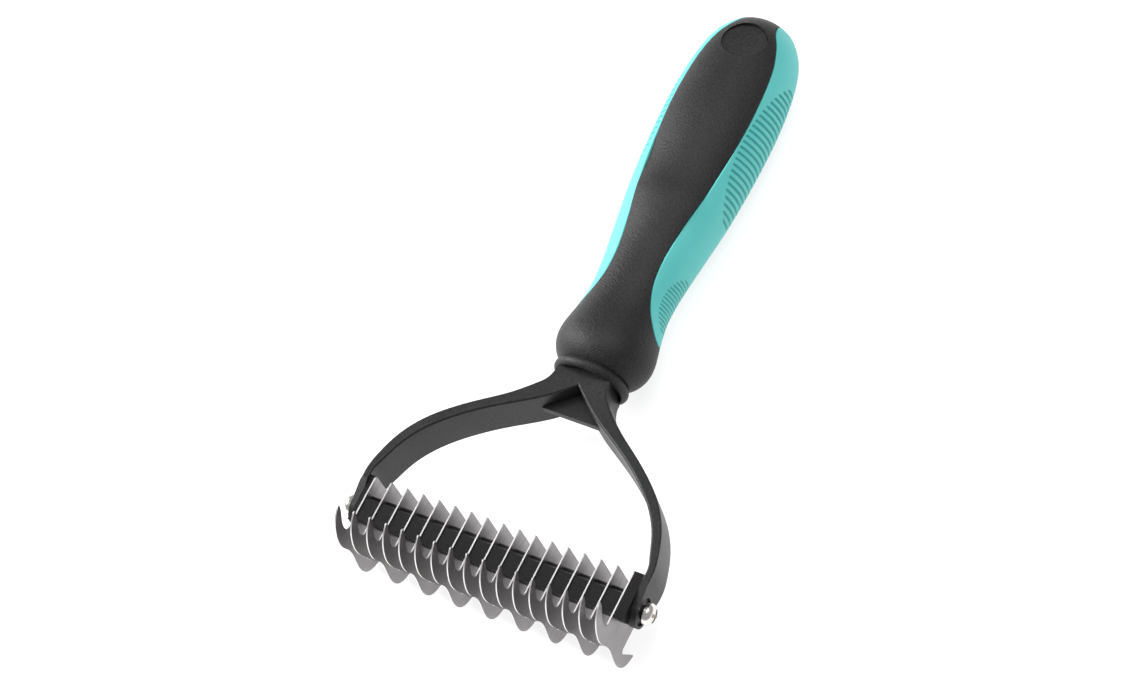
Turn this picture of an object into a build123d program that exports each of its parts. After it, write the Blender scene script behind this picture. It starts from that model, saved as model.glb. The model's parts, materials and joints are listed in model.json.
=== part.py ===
from build123d import *
import math
import os

# Undercoat rake with a straight handle, a two-armed yoke and a comb of steel plates between the arms.
# Modelled with +X along the comb, +Y along the handle away from the comb, and +Z out of the side
# with the short teeth. Y = 0 is the root of the front teeth and Z = 0 the front edge of the plates.
# At the end every piece is tipped so that the tool lies on its hooks and on the back of its handle.
# All sizes are in millimetres.

# Comb
PLATE_COUNT = 17
PITCH = 5.1
PLATE_T = 0.4
COMB_X = -0.9
PLATE_TOP, PLATE_BACK_TOP = 18.0, 19.4
PLATE_TIP_R = 0.6
PLATE_DEPTH = 18.8
NOTCH_R = 1.2
ROD_Y, ROD_Z = 9.9, -6.3
ROD_FLATS = 5.0
ROD_FIT = 0.1
SPACER_FRONT_Z = -0.35
SPACER_LOW, SPACER_HIGH = 4.5, 10.9
SPACER_R = 4.2
CHEEK_LOW = 3.3
CHEEK_R = 4.6

# Yoke
STRAP_WIDTH = 14.5
STRAP_Z = -6.4
STRAP_END_R = 4.9
STRAP_FRONT_START, STRAP_BACK_START = 16.5, 19.0
ARM_INNER_X, ARM_OUTER_X = 43.25, 45.4
ARM_EDGE_R = 0.6
STRAIGHT_Y, SHOULDER_Y, CROTCH_Y = 18.3, 67.0, 63.6
WEB_Y, WEB_HALF, WEB_T = 56.0, 8.5, 2.4
WEB_OVERLAP = 0.5
NECK_HALF, NECK_R, NECK_TOP = 8.2, 9.6, 71.5
TANG_WIDTH, TANG_T, TANG_TOP = 9.0, 6.0, 112.0
TANG_ROOT, TANG_END_GAP = 4.0, 1.0
TANG_FIT = 0.2

# Screws
SCREW_HEAD_R, SCREW_HEAD_H, SCREW_DOME = 3.2, 2.5, 1.7
SCREW_CROWN_R, SCREW_CROWN_DROP = 2.5, 0.5
SCREW_COLLAR_R, SCREW_COLLAR_H = 2.2, 1.6
SCREW_R = 1.5
SCREW_LENGTH = 14.0
SCREW_TIP_GAP = 1.0
SCREW_TURN = 20.0
SCREW_DRIVE_LENGTH, SCREW_DRIVE_WIDTH, SCREW_DRIVE_DEPTH = 4.0, 0.95, 1.5
TAPPED_FIT = 0.05
ARM_HOLE_R = 1.7
COUNTERBORE_R, COUNTERBORE_DEPTH = 4.1, 0.7

# Handle
HANDLE_LEAN = 2.4
GRIP_FLATNESS, FOOT_FLATNESS = 0.87, 0.95
FOOT_Y, GRIP_START_Y = 71.0, 105.0
LEAN_Y = 70.0
RING_R, RING_LOW, RING_HIGH = 11.5, 67.5, 70.6
RING_LOWER_R, RING_UPPER_R, RING_NECK_R, RING_NECK_H = 10.3, 10.6, 9.7, 2.0
SOCKET_R, SOCKET_TOP = 9.9, 72.0
HANDLE_END, TIP_R = 190.7, 1.0
GRIP_T = 1.8
ZONE_REACH = 30.0
DISC_R, DISC_T, DISC_Y, DISC_TILT = 6.6, 1.4, 178.6, 15.9
DISC_SINK, DISC_CUT, DISC_GAP = 1.5, 10.0, 0.15
DISH_R, DISH_DEPTH = 60.0, 0.35

BODY_PROFILE = [
    (10.9, 71.0), (13.7, 74.4), (14.7, 78.5), (13.5, 86.0), (12.45, 93.5), (12.7, 101.5), (14.2, 114.0),
    (16.0, 129.0), (17.0, 146.0), (17.05, 160.5), (15.8, 173.4), (13.6, 181.6), (9.9, 187.1), (6.2, 189.6),
]
GRIP_EDGE = [
    (14.6, 83.5), (11.9, 87.6), (9.3, 92.3), (7.4, 98.5), (7.0, 106.0), (8.2, 116.5), (10.4, 129.5),
    (11.8, 143.0), (12.4, 157.0), (11.4, 171.8), (9.0, 180.0), (6.2, 185.2), (4.4, 192.5),
]

ROD_CENTRE = (ROD_Y, ROD_Z)


def mirrored(points):
    return [(-x, y) for x, y in points]


def rod_hole(fit):
    return Pos(ROD_Y, ROD_Z) * RegularPolygon((ROD_FLATS + fit) / 2, 6, major_radius=False)


def slab(outline, thickness, x=0.0):
    """A sheet piece that lies across the comb, centred on x."""
    across = Plane(origin=(x, 0, 0), x_dir=(0, 1, 0), z_dir=(1, 0, 0))
    return extrude(across * outline, thickness / 2, both=True)


def front_tooth_edges():
    """Down the plate's front edge, round the notch and out to the short tooth's nose."""
    quarter = NOTCH_R * (1 - math.sqrt(0.5))
    return [
        Line((PLATE_TOP - PLATE_TIP_R, 0), (NOTCH_R, 0)),
        ThreePointArc((NOTCH_R, 0), (quarter, quarter), (0, NOTCH_R)),
        Spline((0, NOTCH_R), (-0.1, 5.1), (0.9, 8.1), (1.95, 12.0)),
        ThreePointArc((1.95, 12.0), (1.6, 12.6), (0.95, 12.2)),
    ]


def back_edges(root_y):
    """From the root up the back of the plate, along its rising top and round the front corner."""
    slope = (PLATE_BACK_TOP - PLATE_TOP) / PLATE_DEPTH
    corner = PLATE_TOP + slope * PLATE_TIP_R
    bend = PLATE_TIP_R * (1 - math.sqrt(0.5))
    top = Polyline((root_y, -PLATE_DEPTH), (PLATE_BACK_TOP, -PLATE_DEPTH), (corner, -PLATE_TIP_R))
    tip = ThreePointArc((corner, -PLATE_TIP_R), (PLATE_TOP - bend, -bend), (PLATE_TOP - PLATE_TIP_R, 0))
    return list(top.edges()) + [tip]


def long_plate_outline():
    """A plate with the short tooth in front and the long hook behind."""
    lower = Spline((0.95, 12.2), (-2.3, 8.7), (-3.7, 5.0), (-4.3, 1.4), (-4.0, -3.0), (-2.9, -6.6),
                   (-2.4, -10.0), (-2.7, -17.0), (-2.1, -22.3), (-0.7, -25.2), (1.4, -27.1), (3.7, -28.1))
    nose = ThreePointArc((3.7, -28.1), (4.4, -28.1), (4.3, -27.4))
    inner = Spline((4.3, -27.4), (3.5, -25.4), (2.4, -23.0), (1.3, -20.4))
    root_y = 2.6
    root = ThreePointArc((1.3, -20.4), (1.5, -19.3), (root_y, -PLATE_DEPTH))
    return make_face(front_tooth_edges() + [lower, nose, inner, root] + back_edges(root_y))


def short_plate_outline():
    """A plate with the short tooth only, cut away behind."""
    root_y = 1.5
    lower = Spline((0.95, 12.2), (-2.3, 8.7), (-3.7, 5.0), (-4.3, 1.4), (-4.0, -3.0), (-2.6, -8.0),
                   (-1.0, -13.5), (root_y, -PLATE_DEPTH))
    return make_face(front_tooth_edges() + [lower] + back_edges(root_y))


def spacer_outline():
    """Flat front between the plates and a round back about the rod."""
    front = [(SPACER_HIGH, SPACER_FRONT_Z), (SPACER_LOW, SPACER_FRONT_Z)]
    circle = Pos(*ROD_CENTRE) * Circle(SPACER_R)
    wedge = make_face(Polyline(*front, (ROD_Y - SPACER_R, ROD_Z), (ROD_Y + SPACER_R, ROD_Z), close=True))
    return wedge + circle


def cheek_outline():
    """End block with the blades' pointed top, a straight front and a round back about the rod."""
    back_z = ROD_Z - CHEEK_R
    back_top = PLATE_TOP - back_z * (PLATE_BACK_TOP - PLATE_TOP) / PLATE_DEPTH
    block = Polyline((PLATE_TOP, 0), (CHEEK_LOW, 0), (ROD_Y - CHEEK_R, ROD_Z), (ROD_Y, back_z),
                     (back_top, back_z), close=True)
    return make_face(block) + Pos(*ROD_CENTRE) * Circle(CHEEK_R)


def tie_rod():
    """Hexagonal rod between the arms, drilled at each end for a screw."""
    rod = slab(rod_hole(0), 2 * ARM_INNER_X)
    bore = slab(Pos(*ROD_CENTRE) * Circle(SCREW_R + TAPPED_FIT), SCREW_LENGTH)
    reach = ARM_INNER_X - SCREW_LENGTH / 2 + ARM_OUTER_X - ARM_INNER_X
    return rod - Pos(reach, 0, 0) * bore - Pos(-reach, 0, 0) * bore


def screw(side):
    """Pan head with a cross recess on a collar, with a plain shank, seated in the arm's counterbore."""
    seat = ARM_OUTER_X - COUNTERBORE_DEPTH
    low, high = SCREW_COLLAR_H, SCREW_COLLAR_H + SCREW_HEAD_H
    shoulder = (SCREW_HEAD_R, high - SCREW_DOME)
    edge = Polyline((0, 0), (SCREW_COLLAR_R, 0), (SCREW_COLLAR_R, low), (SCREW_HEAD_R, low), shoulder)
    crown = ThreePointArc(shoulder, (SCREW_CROWN_R, high - SCREW_CROWN_DROP), (0, high))
    axis = Line((0, high), (0, 0))
    head = revolve(Plane.XZ * make_face(list(edge.edges()) + [crown, axis]), Axis.Z)
    slot = Box(SCREW_DRIVE_LENGTH, SCREW_DRIVE_WIDTH, SCREW_DRIVE_DEPTH * 2)
    recess = Pos(0, 0, high) * (slot + Rot(0, 0, 90) * slot)
    shank_length = SCREW_LENGTH - COUNTERBORE_DEPTH - SCREW_TIP_GAP
    shank = Pos(0, 0, -shank_length / 2) * Cylinder(SCREW_R, shank_length)
    whole = Rot(0, 0, SCREW_TURN) * (head + shank - recess)
    return Pos(side * seat, ROD_Y, ROD_Z) * Rot(0, side * 90, 0) * whole


def arm_outline():
    """Both arms and the neck seen from the front, as one face with the crotch between them."""
    outer = [(ARM_OUTER_X, STRAIGHT_Y), (44.5, 24.0), (42.1, 31.0), (37.7, 38.2), (31.0, 44.9),
             (24.1, 50.2), (16.5, 55.8), (10.6, 61.4), (NECK_HALF, SHOULDER_Y)]
    inner = [(0.0, CROTCH_Y), (7.6, 57.1), (12.4, 53.9), (17.0, 51.1), (22.5, 47.5), (29.2, 42.3),
             (35.6, 35.8), (39.9, 28.8), (42.2, 22.8), (ARM_INNER_X, STRAIGHT_Y)]
    foot = [(ARM_OUTER_X, STRAIGHT_Y), (ARM_OUTER_X, 0), (ARM_INNER_X, 0), (ARM_INNER_X, STRAIGHT_Y)]
    neck = [(NECK_HALF, SHOULDER_Y), (NECK_HALF, NECK_TOP), (0, NECK_TOP)]
    edges = []
    for flip in (list, mirrored):
        edges.append(Spline(*flip(outer), tangents=flip([(0, 1), (-0.2, 1)])))
        edges.append(Spline(*flip(inner), tangents=flip([(0.74, -0.67), (0, -1)])))
        edges += Polyline(*flip(foot)).edges() + Polyline(*flip(neck)).edges()
    return make_face(edges)


def strap_side():
    """The arms seen from the side: the full width of the strap, drawn in to a round end about the rod."""
    front, back = STRAP_Z + STRAP_WIDTH / 2, STRAP_Z - STRAP_WIDTH / 2
    top = NECK_TOP + 1
    upper = Polyline((STRAP_FRONT_START, front), (top, front), (top, back), (STRAP_BACK_START, back),
                     close=True)
    end = Pos(*ROD_CENTRE) * Circle(STRAP_END_R)
    return make_hull(list(upper.edges()) + list(end.edges()))


def round_neck(body):
    """Turns the yoke's top, where it goes into the handle's ring, down to a round plug."""
    reach = 2 * NECK_TOP
    above = Pos(0, RING_LOW + NECK_TOP / 2, STRAP_Z) * Box(reach, NECK_TOP, reach)
    plug = Pos(0, RING_LOW + NECK_TOP / 2, STRAP_Z) * Rot(90, 0, 0) * Cylinder(NECK_R, NECK_TOP)
    return (body - above) + (body & plug)


def web():
    """Thin gusset that fills the crotch between the arms."""
    half = WEB_HALF + WEB_OVERLAP
    face = make_face(Polyline((0, CROTCH_Y + WEB_OVERLAP), (-half, WEB_Y), (half, WEB_Y), close=True))
    return extrude(Pos(0, 0, STRAP_Z) * face, WEB_T / 2, both=True)


def yoke():
    """Strap arms with round ends, a sunk web in the crotch, and a tang that goes up into the handle."""
    plan = extrude(Pos(0, 0, STRAP_Z) * arm_outline(), STRAP_WIDTH / 2, both=True)
    long_edges = [e for e in plan.edges() if e.geom_type == GeomType.BSPLINE]
    plan = fillet(long_edges, ARM_EDGE_R)
    body = round_neck(plan & slab(strap_side(), 2 * ARM_OUTER_X)) + web()
    tang_low = NECK_TOP - TANG_ROOT
    body += Pos(0, (TANG_TOP + tang_low) / 2, STRAP_Z) * Box(TANG_WIDTH, TANG_TOP - tang_low, TANG_T)
    across = slab(Pos(*ROD_CENTRE) * Circle(ARM_HOLE_R), 2 * ARM_OUTER_X)
    seat = slab(Pos(*ROD_CENTRE) * Circle(COUNTERBORE_R), 2 * COUNTERBORE_DEPTH)
    return body - across - Pos(ARM_OUTER_X, 0, 0) * seat - Pos(-ARM_OUTER_X, 0, 0) * seat


def leaned(shape):
    """Turns a handle piece about the foot of the handle, towards the front."""
    pivot = Pos(0, LEAN_Y, STRAP_Z)
    return pivot * Rot(HANDLE_LEAN, 0, 0) * Pos(0, -LEAN_Y, -STRAP_Z) * shape


def flatness(y):
    """Depth over width of the handle's oval: nearly round at the foot, flatter along the grip."""
    share = max(0.0, (GRIP_START_Y - y) / (GRIP_START_Y - FOOT_Y))
    return GRIP_FLATNESS + (FOOT_FLATNESS - GRIP_FLATNESS) * share


def oval(half_width, half_depth, y):
    across = Plane(origin=(0, y, STRAP_Z), x_dir=(1, 0, 0), z_dir=(0, 1, 0))
    return across * Ellipse(half_width, half_depth)


def handle_form(inset):
    """The handle's outer form, or the same form set in by an even depth."""
    sections = [oval(r - inset, r * flatness(y) - inset, y) for r, y in BODY_PROFILE]
    sections.append(oval(TIP_R, TIP_R * GRIP_FLATNESS, HANDLE_END - inset))
    return loft(sections)


def grip_zone(side):
    """Everything beside the spine on one side of the handle."""
    edge = [(side * x, y) for x, y in GRIP_EDGE]
    low, high = edge[0], edge[-1]
    far = side * ZONE_REACH
    rim = Polyline(high, (far, high[1]), (far, low[1]), low)
    face = make_face([Spline(*edge)] + list(rim.edges()))
    return extrude(Pos(0, 0, STRAP_Z) * face, ZONE_REACH, both=True)


def disc_place():
    """On the handle's front surface near its end, square to the surface there."""
    low, high = BODY_PROFILE[-4], BODY_PROFILE[-3]
    share = (DISC_Y - low[1]) / (high[1] - low[1])
    surface = GRIP_FLATNESS * (low[0] + (high[0] - low[0]) * share)
    return Pos(0, DISC_Y, STRAP_Z + surface) * Rot(-DISC_TILT, 0, 0)


def handle_core(body):
    """Black core with the ring at its foot, the yoke's socket and the disc's recess."""
    crest = (RING_R, (RING_LOW + RING_HIGH) / 2)
    bulge = ThreePointArc((RING_LOWER_R, RING_LOW), crest, (RING_UPPER_R, RING_HIGH))
    neck_top = RING_HIGH + RING_NECK_H
    rest = Polyline((RING_UPPER_R, RING_HIGH), (RING_NECK_R, neck_top), (0, neck_top), (0, RING_LOW),
                    (RING_LOWER_R, RING_LOW))
    ring = Pos(0, 0, STRAP_Z) * revolve(make_face([bulge] + list(rest.edges())), Axis.Y)
    socket_length = 2 * (SOCKET_TOP - RING_LOW)
    socket = Pos(0, RING_LOW, STRAP_Z) * Rot(90, 0, 0) * Cylinder(SOCKET_R, socket_length)
    slot_top = TANG_TOP + TANG_END_GAP
    slot_block = Box(TANG_WIDTH + TANG_FIT, slot_top - RING_LOW, TANG_T + TANG_FIT)
    slot = Pos(0, (slot_top + RING_LOW) / 2, STRAP_Z) * slot_block
    return leaned(body) + ring - socket - slot - leaned(disc_recess())


def disc_recess():
    depth = DISC_SINK + DISC_T
    return disc_place() * Pos(0, 0, DISC_CUT / 2 - depth) * Cylinder(DISC_R + DISC_GAP, DISC_CUT)


def end_disc():
    """Thin inlay with a dished face, sunk under the handle's surface."""
    blank = Pos(0, 0, -DISC_SINK - DISC_T / 2) * Cylinder(DISC_R, DISC_T)
    dish = Pos(0, 0, DISH_R - DISC_SINK - DISH_DEPTH) * Sphere(DISH_R)
    return leaned(disc_place() * (blank - dish))


def plate_x(index):
    return COMB_X + (index - (PLATE_COUNT - 1) / 2) * PITCH


def comb_pieces():
    """Plates, spacers and cheeks, threaded on the rod from left to right."""
    pieces = {}
    long_face = long_plate_outline() - rod_hole(ROD_FIT)
    short_face = short_plate_outline() - rod_hole(ROD_FIT)
    for index in range(PLATE_COUNT):
        face = long_face if index % 2 == 0 else short_face
        pieces[f"blade_{index + 1:02d}"] = slab(face, PLATE_T, plate_x(index))
    spacer_face = spacer_outline() - rod_hole(ROD_FIT)
    for index in range(PLATE_COUNT - 1):
        middle = plate_x(index) + PITCH / 2
        pieces[f"spacer_{index + 1:02d}"] = slab(spacer_face, PITCH - PLATE_T, middle)
    cheek_face = cheek_outline() - rod_hole(ROD_FIT)
    left_end, right_end = plate_x(0) - PLATE_T / 2, plate_x(PLATE_COUNT - 1) + PLATE_T / 2
    pieces["left_cheek"] = slab(cheek_face, left_end + ARM_INNER_X, (left_end - ARM_INNER_X) / 2)
    pieces["right_cheek"] = slab(cheek_face, ARM_INNER_X - right_end, (right_end + ARM_INNER_X) / 2)
    pieces["tie_rod"] = tie_rod()
    return pieces


def tool():
    """Every piece by name, in the upright modelling position."""
    form = handle_form(0)
    inner = handle_form(GRIP_T)
    left_grip = (form & grip_zone(-1)) - inner
    right_grip = (form & grip_zone(1)) - inner
    pieces = comb_pieces()
    pieces["yoke"] = yoke()
    pieces["left_screw"] = screw(-1)
    pieces["right_screw"] = screw(1)
    pieces["handle_core"] = handle_core(form - left_grip - right_grip)
    pieces["left_grip"] = leaned(left_grip)
    pieces["right_grip"] = leaned(right_grip)
    pieces["end_disc"] = end_disc()
    return pieces


# Rest pose: the hooks and the back of the handle both touch the surface.
HOOK_BACK_Z = -28.2
REST_HANDLE_Y = 154.0
HANDLE_BACK_Z = (STRAP_Z - GRIP_FLATNESS * BODY_PROFILE[9][0]
                 + (REST_HANDLE_Y - LEAN_Y) * math.sin(math.radians(HANDLE_LEAN)))
REST_TIP = -math.degrees(math.atan2(HANDLE_BACK_Z - HOOK_BACK_Z, REST_HANDLE_Y))

upright = tool()
tipped = {name: Rot(REST_TIP, 0, 0) * piece for name, piece in upright.items()}
corners = [point for piece in tipped.values() for point in piece.tessellate(0.02, 0.2)[0]]
low_y, high_y = min(p.Y for p in corners), max(p.Y for p in corners)
TO_ORIGIN = Pos(0, -(low_y + high_y) / 2, -min(p.Z for p in corners))

os.makedirs("parts", exist_ok=True)
for name, piece in tipped.items():
    export_step(TO_ORIGIN * piece, f"parts/{name}.step")
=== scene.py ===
"""Undercoat rake, lying on its hooks and on the back of its handle, dressed over its CAD model.

The frame is in metres. The dimensions below are in millimetres, in the tool's own upright
axes: X along the comb, Y along the handle, Z out of the side with the short teeth.
"""
import json
import math

import bpy
from mathutils import Matrix, Vector


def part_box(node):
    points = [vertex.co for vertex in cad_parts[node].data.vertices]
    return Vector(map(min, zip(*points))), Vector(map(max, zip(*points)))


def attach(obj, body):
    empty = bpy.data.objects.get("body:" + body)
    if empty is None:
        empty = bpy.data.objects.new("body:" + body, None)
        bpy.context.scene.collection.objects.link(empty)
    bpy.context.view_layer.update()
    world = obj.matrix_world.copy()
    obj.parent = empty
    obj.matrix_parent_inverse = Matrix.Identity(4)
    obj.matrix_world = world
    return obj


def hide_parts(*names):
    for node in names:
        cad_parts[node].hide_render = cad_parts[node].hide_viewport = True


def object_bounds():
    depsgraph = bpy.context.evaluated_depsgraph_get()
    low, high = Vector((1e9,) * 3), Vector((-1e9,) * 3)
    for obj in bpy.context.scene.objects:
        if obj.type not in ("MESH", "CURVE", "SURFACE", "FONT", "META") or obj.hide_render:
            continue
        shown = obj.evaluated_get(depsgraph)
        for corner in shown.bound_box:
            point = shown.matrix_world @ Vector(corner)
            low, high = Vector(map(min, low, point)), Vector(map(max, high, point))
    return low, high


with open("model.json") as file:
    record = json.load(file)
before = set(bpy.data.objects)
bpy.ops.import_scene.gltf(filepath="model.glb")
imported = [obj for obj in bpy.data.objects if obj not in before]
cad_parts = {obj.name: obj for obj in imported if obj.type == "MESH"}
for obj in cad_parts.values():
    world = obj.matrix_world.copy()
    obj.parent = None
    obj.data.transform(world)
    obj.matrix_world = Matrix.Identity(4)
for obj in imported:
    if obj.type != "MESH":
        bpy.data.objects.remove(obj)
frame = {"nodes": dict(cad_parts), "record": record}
CAD_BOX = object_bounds()
NODES = frame["nodes"]
BOX_LOW, BOX_HIGH = CAD_BOX
CENTRE = (BOX_LOW + BOX_HIGH) / 2
MM = 0.001

# ------------------------------------------------------ dimensions shared with the CAD model
REST_TIP = -3.8946  # degrees about X, from the upright axes to the pose of rest
ROD_Y, ROD_Z = 9.9, -6.3
STRAP_Z = -6.4  # the handle's middle line, before it leans
LEAN_Y, HANDLE_LEAN = 70.0, 2.4  # the lean's pivot, and its angle in degrees
GRIP_FLATNESS, FOOT_FLATNESS = 0.87, 0.95  # the handle's depth over its width
FOOT_Y, GRIP_START_Y = 71.0, 105.0  # between these, the flatness goes from foot to grip
BODY_PROFILE = [  # the handle's half width, and y
    (10.9, 71.0), (13.7, 74.4), (14.7, 78.5), (13.5, 86.0), (12.45, 93.5), (12.7, 101.5),
    (14.2, 114.0), (16.0, 129.0), (17.0, 146.0), (17.05, 160.5), (15.8, 173.4), (13.6, 181.6),
    (9.9, 187.1), (6.2, 189.6), (1.0, 190.7),
]
GRIP_EDGE = [  # the black spine's half width between the grips, and y
    (14.6, 83.5), (11.9, 87.6), (9.3, 92.3), (7.4, 98.5), (7.0, 106.0), (8.2, 116.5),
    (10.4, 129.5), (11.8, 143.0), (12.4, 157.0), (11.4, 171.8), (9.0, 180.0), (6.2, 185.2),
    (4.4, 192.5),
]

# ---------------------------------------------------------------- dimensions of the grips
GRIP_SEAM = 0.24  # how far the grip's edge stays back from the spine
GRIP_EDGE_R = 0.35
GRIP_SHELL = 1.5
PADS = (
    {"middle": 149.0, "half_length": 23.5, "half_angle": 42.0, "spacing": 1.87, "depth": 0.7},
    {"middle": 97.8, "half_length": 8.6, "half_angle": 33.0, "spacing": 1.15, "depth": 0.5},
)
PAD_FADE = 0.7  # from a pad's outline to its full depth
GROOVE_FLOOR, GROOVE_LIP = 0.11, 0.26  # from a groove's middle, as shares of the spacing
PAD_MARGIN = 0.4
PAD_STEP, PLAIN_STEP = 0.12, 0.5  # between the rows of a grip's mesh
LOW_TIP_SEARCH, HIGH_TIP_SEARCH = (83.5, 110.0), (190.6, 175.0)
SEARCH_STEPS = 20  # in a millimetre
TIP_HALF_ANGLE = 0.06  # radians, where a grip is too narrow to go on
OUTER_COLUMNS, INNER_COLUMNS = 64, 8

# ---------------------------------------------------------------- colours and fine relief
PLASTICS = {
    "black_handle": {
        "dark": (0.0125, 0.0115, 0.0125), "light": (0.018, 0.0165, 0.0175),
        "roughness": 0.5, "grain_scale": 1700.0, "grain_strength": 0.9,
    },
    "black_yoke": {
        "dark": (0.012, 0.012, 0.0125), "light": (0.017, 0.017, 0.0175),
        "roughness": 0.42, "grain_scale": 1500.0, "grain_strength": 0.12,
    },
    "black_comb": {
        "dark": (0.004, 0.0035, 0.004), "light": (0.007, 0.006, 0.007),
        "roughness": 0.5, "grain_scale": 1800.0, "grain_strength": 0.15, "gloss": 0.2,
    },
    "black_disc": {
        "dark": (0.019, 0.019, 0.019), "light": (0.023, 0.023, 0.023),
        "roughness": 0.38, "grain_scale": 1200.0, "grain_strength": 0.04,
    },
}
SPECKLE_DARK, SPECKLE_LIGHT = (0.55, 0.55, 0.55), (1.45, 1.45, 1.42)
RUBBER_DARK, RUBBER_LIGHT = (0.098, 0.545, 0.515), (0.114, 0.580, 0.550)
# painted shade: a darker rubber colour laid into the grooves, deeper grooves darker
GROOVE_PAINTED_SHADE = (0.080, 0.450, 0.425)
GROOVE_FULL_DEPTH = 0.5  # millimetres, where the painted groove shade is full
BLADE_DARK, BLADE_LIGHT = (0.255, 0.243, 0.243), (0.305, 0.290, 0.290)
# painted highlight: a much brighter colour on the plates' cut edges
BLADE_EDGE_HIGHLIGHT = (0.76, 0.74, 0.73)
SCREW_DARK, SCREW_LIGHT = (0.72, 0.69, 0.65), (0.80, 0.77, 0.73)
MOULDED_RELIEF, METAL_RELIEF = 0.0002, 0.0001  # metres, for bumps
NOISE_LOW, NOISE_HIGH = 0.3, 0.7  # nearly all of a noise texture's values

# ---------------------------------------------------------------- stage, lights and camera
CAMERA_AZIMUTH, CAMERA_ELEVATION, CAMERA_ROLL = 51.52, 61.61, 28.91
CAMERA_DISTANCE = 1.1133
CAMERA_LENS, CAMERA_SENSOR = 123.96, 36.0
CAMERA_CLIP = (0.05, 10.0)
AIM_OFFSET = Vector((-0.0087, -0.01675, 0.020))
FLOOR_HALF = 3.0
FLOOR_GLOW = 0.75
SOFT_BOXES = (  # name, direction from the tool, distance, size, power
    ("key_box", (-0.75, -0.25, 0.62), 0.9, (0.22, 0.45), 7.0),
    ("rim_box", (-0.9, 0.1, 0.28), 0.8, (0.25, 0.7), 4.0),
    ("top_box", (0.15, 0.25, 1.0), 1.2, (0.9, 0.9), 7.0),
)
WORLD_COLOR, WORLD_STRENGTH = (0.95, 0.97, 1.0, 1), 0.42


# ---------------------------------------------------------------- places in the frame
def node_middle(node):
    low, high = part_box(node)
    return (low + high) / 2


def place_matrix():
    """From the tool's upright axes, in millimetres, to the frame, by way of the tie rod."""
    rod = node_middle("tie_rod")
    tip = Matrix.Rotation(math.radians(REST_TIP), 4, "X")
    rod_upright = Vector((0, ROD_Y, ROD_Z)) * MM
    return Matrix.Translation(rod - tip @ rod_upright) @ tip @ Matrix.Scale(MM, 4)


PLACE = place_matrix()


def leaned(point):
    """A point of the straight handle, in millimetres, to its leaned place in the frame."""
    pivot = Vector((0, LEAN_Y, STRAP_Z))
    turned = Matrix.Rotation(math.radians(HANDLE_LEAN), 3, "X") @ (Vector(point) - pivot) + pivot
    return PLACE @ turned


# ---------------------------------------------------------------- the handle's form
def smooth_through(points):
    """A smooth function of y through (value, y) points, with Catmull-Rom slopes."""
    ys = [y for _, y in points]
    vs = [v for v, _ in points]
    slopes = []
    for i in range(len(ys)):
        low, high = max(i - 1, 0), min(i + 1, len(ys) - 1)
        slopes.append((vs[high] - vs[low]) / (ys[high] - ys[low]))

    def at(y):
        i = max(j for j in range(len(ys) - 1) if ys[j] <= max(y, ys[0]))
        step = ys[i + 1] - ys[i]
        t = min(max((y - ys[i]) / step, 0.0), 1.0)
        return ((2 * t**3 - 3 * t**2 + 1) * vs[i] + (t**3 - 2 * t**2 + t) * step * slopes[i]
                + (-2 * t**3 + 3 * t**2) * vs[i + 1] + (t**3 - t**2) * step * slopes[i + 1])

    return at


half_width = smooth_through(BODY_PROFILE)
spine_half = smooth_through(GRIP_EDGE)


def flatness(y):
    """The handle's depth over its width: flatter at the grip than at the foot."""
    foot_share = max(0.0, (GRIP_START_Y - y) / (GRIP_START_Y - FOOT_Y))
    return GRIP_FLATNESS + (FOOT_FLATNESS - GRIP_FLATNESS) * foot_share


def oval_point(y, angle, raise_by, side):
    """A point raised square to the handle's oval surface."""
    a = half_width(y)
    b = a * flatness(y)
    normal = Vector((math.cos(angle) / a, math.sin(angle) / b)).normalized()
    x = a * math.cos(angle) + normal.x * raise_by
    z = b * math.sin(angle) + normal.y * raise_by
    return leaned((side * x, y, STRAP_Z + z))


# ---------------------------------------------------------------- material nodes
def principled(name, color, roughness, **sockets):
    """A material with fixed values on its shader."""
    mat = bpy.data.materials.new(name)
    mat.use_nodes = True
    shader = mat.node_tree.nodes["Principled BSDF"]
    shader.inputs["Base Color"].default_value = (*color, 1)
    shader.inputs["Roughness"].default_value = roughness
    for key, value in sockets.items():
        shader.inputs[key.replace("_", " ")].default_value = value
    return mat, shader


def object_coords(tree):
    return tree.nodes.new("ShaderNodeTexCoord").outputs["Object"]


def noise(tree, coords, scale, detail=2.0, stretch=None):
    """Noise over the object's own coordinates, stretched along an axis if asked."""
    node = tree.nodes.new("ShaderNodeTexNoise")
    node.inputs["Scale"].default_value = scale
    node.inputs["Detail"].default_value = detail
    if stretch:
        mapping = tree.nodes.new("ShaderNodeMapping")
        mapping.inputs["Scale"].default_value = stretch
        tree.links.new(coords, mapping.inputs["Vector"])
        coords = mapping.outputs["Vector"]
    tree.links.new(coords, node.inputs["Vector"])
    return node.outputs["Fac"]


def spread(tree, factor, low, high):
    """Maps a noise factor to the range low to high."""
    node = tree.nodes.new("ShaderNodeMapRange")
    node.inputs["From Min"].default_value = NOISE_LOW
    node.inputs["From Max"].default_value = NOISE_HIGH
    node.inputs["To Min"].default_value = low
    node.inputs["To Max"].default_value = high
    tree.links.new(factor, node.inputs["Value"])
    return node.outputs["Result"]


def feed(tree, value, socket):
    """Links another node's output to a socket, or sets a colour or a number on it."""
    if isinstance(value, bpy.types.NodeSocket):
        tree.links.new(value, socket)
    elif isinstance(value, tuple):
        socket.default_value = (*value, 1)
    else:
        socket.default_value = value


def mix(tree, factor, first, second, blend_type="MIX"):
    """Blends two colours."""
    node = tree.nodes.new("ShaderNodeMix")
    node.data_type = "RGBA"
    node.blend_type = blend_type
    feed(tree, factor, node.inputs["Factor"])
    feed(tree, first, node.inputs["A"])
    feed(tree, second, node.inputs["B"])
    return node.outputs["Result"]


def tone(tree, factor, first, second):
    """Drifts between two close colours, by a noise factor."""
    return mix(tree, spread(tree, factor, 0, 1), first, second)


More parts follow.
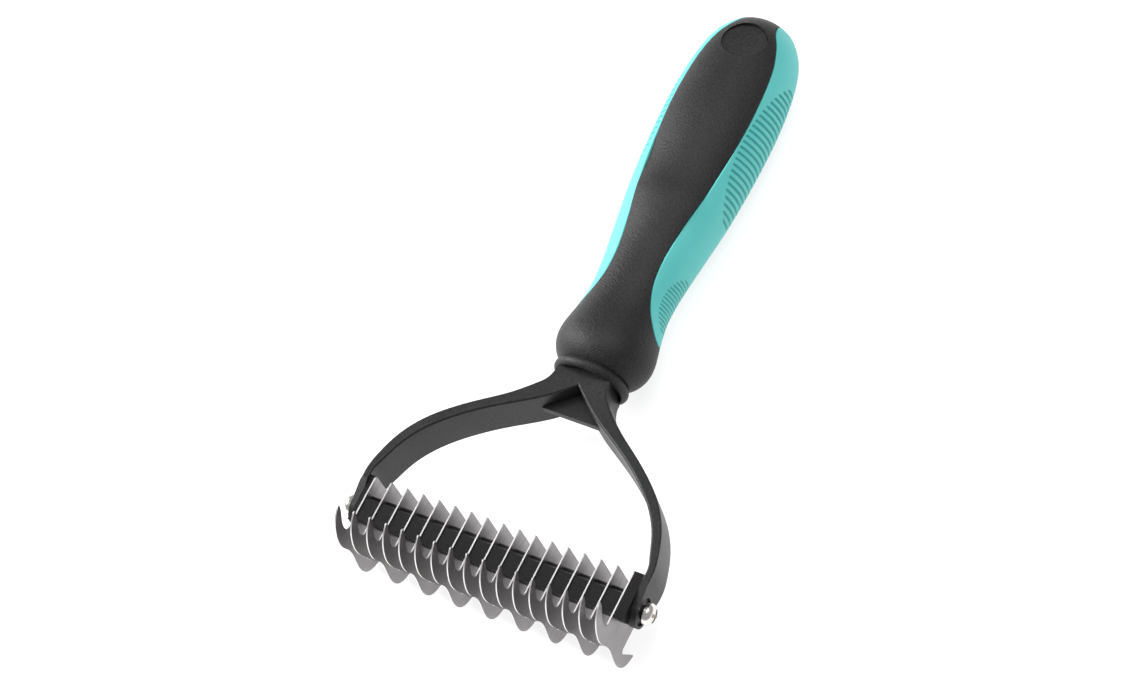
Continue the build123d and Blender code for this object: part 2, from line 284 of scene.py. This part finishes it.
def bump(tree, heights, shader, distance):
    """Chains bumps from (height, strength) pairs into the shader's normal."""
    previous = None
    for height, strength in heights:
        node = tree.nodes.new("ShaderNodeBump")
        node.inputs["Strength"].default_value = strength
        node.inputs["Distance"].default_value = distance
        tree.links.new(height, node.inputs["Height"])
        if previous:
            tree.links.new(previous, node.inputs["Normal"])
        previous = node.outputs["Normal"]
    tree.links.new(previous, shader.inputs["Normal"])


def painted_groove_shade(tree):
    """Painted shade for the grooves: from zero on the plain rubber to one at the bottom of a
    groove.
    """
    groove = tree.nodes.new("ShaderNodeAttribute")
    groove.attribute_name = "groove"
    shade = tree.nodes.new("ShaderNodeMapRange")
    shade.inputs["From Max"].default_value = GROOVE_FULL_DEPTH
    tree.links.new(groove.outputs["Fac"], shade.inputs["Value"])
    return shade.outputs["Result"]


def painted_edge_highlight(tree):
    """Mask of the painted edge highlight: one on a plate's cut edges, whose normals lie across
    X, and zero on its flat faces.
    """
    geometry = tree.nodes.new("ShaderNodeNewGeometry")
    split = tree.nodes.new("ShaderNodeSeparateXYZ")
    size = tree.nodes.new("ShaderNodeMath")
    size.operation = "ABSOLUTE"
    below = tree.nodes.new("ShaderNodeMath")
    below.operation = "LESS_THAN"
    below.inputs[1].default_value = 0.5
    tree.links.new(geometry.outputs["True Normal"], split.inputs["Vector"])
    tree.links.new(split.outputs["X"], size.inputs[0])
    tree.links.new(size.outputs["Value"], below.inputs[0])
    return below.outputs["Value"]


# ---------------------------------------------------------------- materials
def grained_plastic(name, dark, light, roughness, grain_scale, grain_strength, gloss=0.32):
    """Moulded plastic with a fine sparked texture, slight colour drift and uneven gloss."""
    mat, shader = principled(name, dark, roughness, Specular_IOR_Level=gloss)
    tree = mat.node_tree
    coords = object_coords(tree)
    fine = noise(tree, coords, grain_scale, 3.0)
    broad = noise(tree, coords, 55.0, 3.0)
    drift = tone(tree, broad, dark, light)
    speckle = tone(tree, fine, SPECKLE_DARK, SPECKLE_LIGHT)
    feed(tree, mix(tree, 1.0, drift, speckle, "MULTIPLY"), shader.inputs["Base Color"])
    uneven = spread(tree, broad, roughness - 0.05, roughness + 0.05)
    feed(tree, uneven, shader.inputs["Roughness"])
    bump(tree, [(broad, 0.03), (fine, grain_strength)], shader, MOULDED_RELIEF)
    return mat


def grip_rubber():
    """Turquoise rubber: satin, dust-fine unevenness, and painted shade in the grooves."""
    mat, shader = principled("grip_rubber", (0.10, 0.53, 0.50), 0.5)
    tree = mat.node_tree
    coords = object_coords(tree)
    broad = noise(tree, coords, 60.0, 3.0)
    fine = noise(tree, coords, 1900.0, 2.0)
    plain = tone(tree, broad, RUBBER_DARK, RUBBER_LIGHT)
    # painted shade: the rubber colour darkens in the grooves, by their depth
    feed(tree, mix(tree, painted_groove_shade(tree), plain, GROOVE_PAINTED_SHADE), shader.inputs["Base Color"])
    feed(tree, spread(tree, broad, 0.46, 0.56), shader.inputs["Roughness"])
    bump(tree, [(broad, 0.02), (fine, 0.12)], shader, MOULDED_RELIEF)
    return mat


def blade_steel():
    """Stainless sheet: fine grinding lines, faint clouding, and a painted highlight on the cut
    edges.
    """
    mat, shader = principled("blade_steel", (0.42, 0.40, 0.40), 0.3, Metallic=1.0)
    tree = mat.node_tree
    coords = object_coords(tree)
    lines = noise(tree, coords, 1500.0, 2.0, (1.0, 0.05, 1.0))
    cloud = noise(tree, coords, 120.0, 3.0)
    face = tone(tree, cloud, BLADE_DARK, BLADE_LIGHT)
    # painted highlight: the cut edges take the bright edge colour
    feed(tree, mix(tree, painted_edge_highlight(tree), face, BLADE_EDGE_HIGHLIGHT), shader.inputs["Base Color"])
    feed(tree, spread(tree, lines, 0.30, 0.44), shader.inputs["Roughness"])
    bump(tree, [(lines, 0.02)], shader, METAL_RELIEF)
    return mat


def rod_steel():
    """Drawn steel bar, with fine lines along it."""
    mat, shader = principled("rod_steel", (0.5, 0.5, 0.5), 0.35, Metallic=1.0)
    tree = mat.node_tree
    lines = noise(tree, object_coords(tree), 900.0, 2.0, (0.04, 1.0, 1.0))
    feed(tree, spread(tree, lines, 0.28, 0.42), shader.inputs["Roughness"])
    bump(tree, [(lines, 0.05)], shader, METAL_RELIEF)
    return mat


def screw_steel():
    """Bright nickel plate with a little handling wear."""
    mat, shader = principled("screw_steel", (0.76, 0.73, 0.69), 0.16, Metallic=1.0)
    tree = mat.node_tree
    wear = noise(tree, object_coords(tree), 700.0, 3.0)
    feed(tree, tone(tree, wear, SCREW_DARK, SCREW_LIGHT), shader.inputs["Base Color"])
    feed(tree, spread(tree, wear, 0.12, 0.24), shader.inputs["Roughness"])
    bump(tree, [(wear, 0.05)], shader, METAL_RELIEF)
    return mat


MATERIALS = {slot: grained_plastic(slot, **looks) for slot, looks in PLASTICS.items()}
for maker in (grip_rubber, blade_steel, rod_steel, screw_steel):
    MATERIALS[maker.__name__] = maker()


def dress_cad_nodes():
    """Every CAD node takes the material of its slot."""
    for part in frame["record"]["subparts"]:
        node = NODES[part["node"]]
        node.data.materials.clear()
        node.data.materials.append(MATERIALS[part["material_slot"]])


# ---------------------------------------------------------------- grips
def smoothstep(low, high, x):
    t = min(max((x - low) / (high - low), 0.0), 1.0)
    return t * t * (3 - 2 * t)


def grip_half_angle(y):
    """Angle from the side of the handle to the grip's edge, seen along the handle."""
    share = (spine_half(y) + GRIP_SEAM) / half_width(y)
    return math.acos(share) if share < 1 else 0.0


def pad_depth(y, angle):
    """How deep the pads' grooves go at a place on the grip."""
    for pad in PADS:
        u = (y - pad["middle"]) / pad["half_length"]
        if abs(u) >= 1:
            continue
        reach = math.radians(pad["half_angle"]) * math.sqrt(1 - u * u)
        inside = smoothstep(0, PAD_FADE, (reach - abs(angle)) * half_width(y))
        phase = (y - pad["middle"]) / pad["spacing"] + 0.5
        off = abs(phase - math.floor(phase) - 0.5)
        trough = 1 - smoothstep(GROOVE_FLOOR, GROOVE_LIP, off)
        return pad["depth"] * trough * inside
    return 0.0


def tip_place(start, stop):
    """The first y from start towards stop where the grip is more than a sliver."""
    direction = 1 if stop > start else -1
    for step in range(int(start * SEARCH_STEPS), int(stop * SEARCH_STEPS), direction):
        if grip_half_angle(step / SEARCH_STEPS) > TIP_HALF_ANGLE:
            return step / SEARCH_STEPS
    raise ValueError("the grip has no tip between these places")


def grip_rows():
    """Places along the grip from tip to tip: fine steps over the pads, coarser elsewhere."""
    y, end = tip_place(*LOW_TIP_SEARCH), tip_place(*HIGH_TIP_SEARCH)
    rows = []
    while y < end:
        rows.append(y)
        on_pad = any(abs(y - pad["middle"]) < pad["half_length"] + PAD_MARGIN for pad in PADS)
        y += PAD_STEP if on_pad else PLAIN_STEP
    return rows + [end]


def edge_drop(edge):
    """How far the rounded edge falls away, at a distance from it."""
    inward = max(0.0, GRIP_EDGE_R - edge)
    return GRIP_EDGE_R - math.sqrt(max(0.0, GRIP_EDGE_R**2 - inward**2))


def new_object(name, verts, faces, slot):
    mesh = bpy.data.meshes.new(name)
    mesh.from_pydata(verts, [], faces)
    mesh.validate()
    mesh.polygons.foreach_set("use_smooth", [True] * len(mesh.polygons))
    mesh.materials.append(MATERIALS[slot])
    mesh.update()
    obj = bpy.data.objects.new(name, mesh)
    bpy.context.scene.collection.objects.link(obj)
    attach(obj, "root")
    return obj


def grip(side, name, node):
    """One rubber grip: an outer skin with grooved pads and rounded edges, and a plain inside."""
    verts, faces, grooves = [], [], []
    rows = grip_rows()
    for y in rows:
        half = grip_half_angle(y)
        for i in range(OUTER_COLUMNS + 1):
            angle = half * math.sin(math.pi / 2 * (2 * i / OUTER_COLUMNS - 1))
            edge = (half - abs(angle)) * half_width(y)
            depth = pad_depth(y, angle)
            verts.append(oval_point(y, angle, -edge_drop(edge) - depth, side))
            grooves.append(depth)
        for i in range(INNER_COLUMNS + 1):
            angle = half * (1 - 2 * i / INNER_COLUMNS)
            verts.append(oval_point(y, angle, -GRIP_SHELL, side))
            grooves.append(0.0)
    ring = OUTER_COLUMNS + INNER_COLUMNS + 2
    for row in range(len(rows) - 1):
        for i in range(ring):
            a, b = row * ring + i, row * ring + (i + 1) % ring
            faces.append((a, b, b + ring, a + ring) if side < 0 else (a, a + ring, b + ring, b))
    first = list(range(ring))
    last = [(len(rows) - 1) * ring + i for i in range(ring)]
    faces.append(tuple(first if side > 0 else reversed(first)))
    faces.append(tuple(last if side < 0 else reversed(last)))
    obj = new_object(name, verts, faces, "grip_rubber")
    obj.data.attributes.new("groove", "FLOAT", "POINT").data.foreach_set("value", grooves)
    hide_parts(node)


# ---------------------------------------------------------------- making the stage
def make_camera():
    """The photo's view, aimed from the middle of the footprint."""
    azimuth, elevation = math.radians(CAMERA_AZIMUTH), math.radians(CAMERA_ELEVATION)
    level_part = math.cos(elevation)
    back = Vector((math.sin(azimuth) * level_part, -math.cos(azimuth) * level_part,
                   math.sin(elevation)))
    data = bpy.data.cameras.new("camera")
    data.lens = CAMERA_LENS
    data.sensor_width = CAMERA_SENSOR
    data.clip_start, data.clip_end = CAMERA_CLIP
    camera = bpy.data.objects.new("camera", data)
    bpy.context.scene.collection.objects.link(camera)
    camera.rotation_mode = "QUATERNION"
    level = (-back).to_track_quat("-Z", "Y")
    roll = Matrix.Rotation(math.radians(-CAMERA_ROLL), 3, "Z").to_quaternion()
    camera.rotation_quaternion = level @ roll
    aim = Vector((CENTRE.x, CENTRE.y, BOX_LOW.z)) + AIM_OFFSET
    camera.location = aim + back * CAMERA_DISTANCE
    bpy.context.scene.camera = camera


def make_floor():
    """A pale floor that glows enough to hide most of its shadows, as in the photo."""
    corners = ((-1, -1), (1, -1), (1, 1), (-1, 1))
    verts = [(x * FLOOR_HALF, y * FLOOR_HALF, BOX_LOW.z) for x, y in corners]
    mesh = bpy.data.meshes.new("floor")
    mesh.from_pydata(verts, [], [(0, 1, 2, 3)])
    mat, shader = principled("floor_paper", (0.5, 0.5, 0.5), 0.9, Specular_IOR_Level=0.1)
    shader.inputs["Emission Color"].default_value = (1, 1, 1, 1)
    shader.inputs["Emission Strength"].default_value = FLOOR_GLOW
    mesh.materials.append(mat)
    floor = bpy.data.objects.new("floor", mesh)
    bpy.context.scene.collection.objects.link(floor)


def soft_box(name, direction, distance, size, power):
    """A soft box that faces the middle of the tool from a direction in the frame."""
    data = bpy.data.lights.new(name, "AREA")
    data.shape = "RECTANGLE"
    data.size, data.size_y = size
    data.energy = power
    light = bpy.data.objects.new(name, data)
    bpy.context.scene.collection.objects.link(light)
    toward = Vector(direction).normalized()
    light.location = CENTRE + toward * distance
    light.rotation_mode = "QUATERNION"
    light.rotation_quaternion = (-toward).to_track_quat("-Z", "Y")


def make_lights():
    for box in SOFT_BOXES:
        soft_box(*box)
    world = bpy.data.worlds.new("studio")
    world.use_nodes = True
    background = world.node_tree.nodes["Background"]
    background.inputs["Color"].default_value = WORLD_COLOR
    background.inputs["Strength"].default_value = WORLD_STRENGTH
    bpy.context.scene.world = world
    bpy.context.scene.view_settings.view_transform = "Standard"


# ---------------------------------------------------------------- build
make_camera()
make_floor()
make_lights()
dress_cad_nodes()
grip(-1, "left_grip_rubber", "left_grip")
grip(1, "right_grip_rubber", "right_grip")
